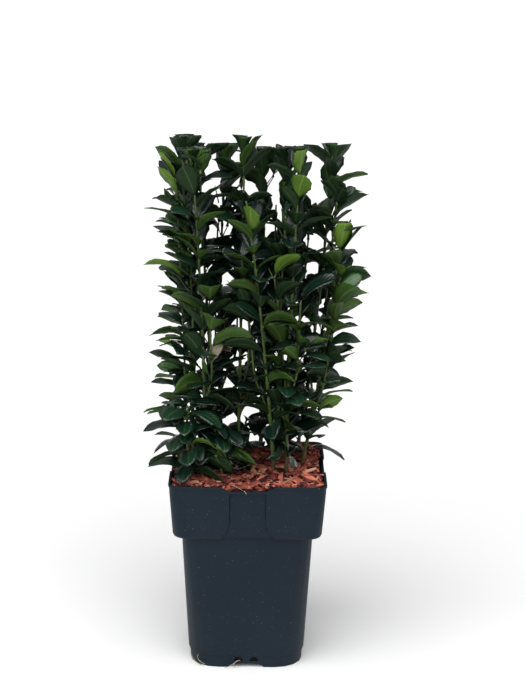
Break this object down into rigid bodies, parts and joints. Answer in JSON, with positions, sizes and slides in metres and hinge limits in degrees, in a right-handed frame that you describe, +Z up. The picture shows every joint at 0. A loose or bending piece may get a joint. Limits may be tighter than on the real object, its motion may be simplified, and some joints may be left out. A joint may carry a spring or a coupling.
{
  "type": "potted evergreen spindle shrub",
  "caption": "Square plastic nursery pot of soil topped with bark chips, holding a clump of upright shoots with paired glossy leaves, clipped level at the top.",
  "frame": {"origin": "centre of the pot's flat underside, at ground level", "axes": "+Z up along the pot's axis, -Y towards the front of the picture"},
  "size_m": [0.2139, 0.171, 0.509],
  "materials": {
    "pot": "matt moulded plastic, dark slate grey",
    "potting_soil": "damp peat-like compost",
    "bark_chips": "rough red-brown bark chips",
    "stem_bark": "green young bark, brown and ridged at the foot",
    "leaves": "glossy dark green above, matt yellow-green below"
  },
  "bodies": {
    "root": {"pot": "pot", "potting_soil": "potting_soil", "bark_mulch": "bark_chips", "stem_front_left": "stem_bark", "stem_low_left": "stem_bark", "stem_low_front": "stem_bark", "stem_left": "stem_bark", "stem_inner_left": "stem_bark", "stem_back_left": "stem_bark", "stem_centre": "stem_bark", "stem_front_centre": "stem_bark", "stem_front_right": "stem_bark", "stem_right": "stem_bark", "stem_back_right": "stem_bark", "stem_back_centre": "stem_bark", "stem_inner_right": "stem_bark", "leaves_front_left": "leaves", "leaves_low_left": "leaves", "leaves_low_front": "leaves", "leaves_left": "leaves", "leaves_inner_left": "leaves", "leaves_back_left": "leaves", "leaves_centre": "leaves", "leaves_front_centre": "leaves", "leaves_front_right": "leaves", "leaves_right": "leaves", "leaves_back_right": "leaves", "leaves_back_centre": "leaves", "leaves_inner_right": "leaves"}
  },
  "joints": []
}
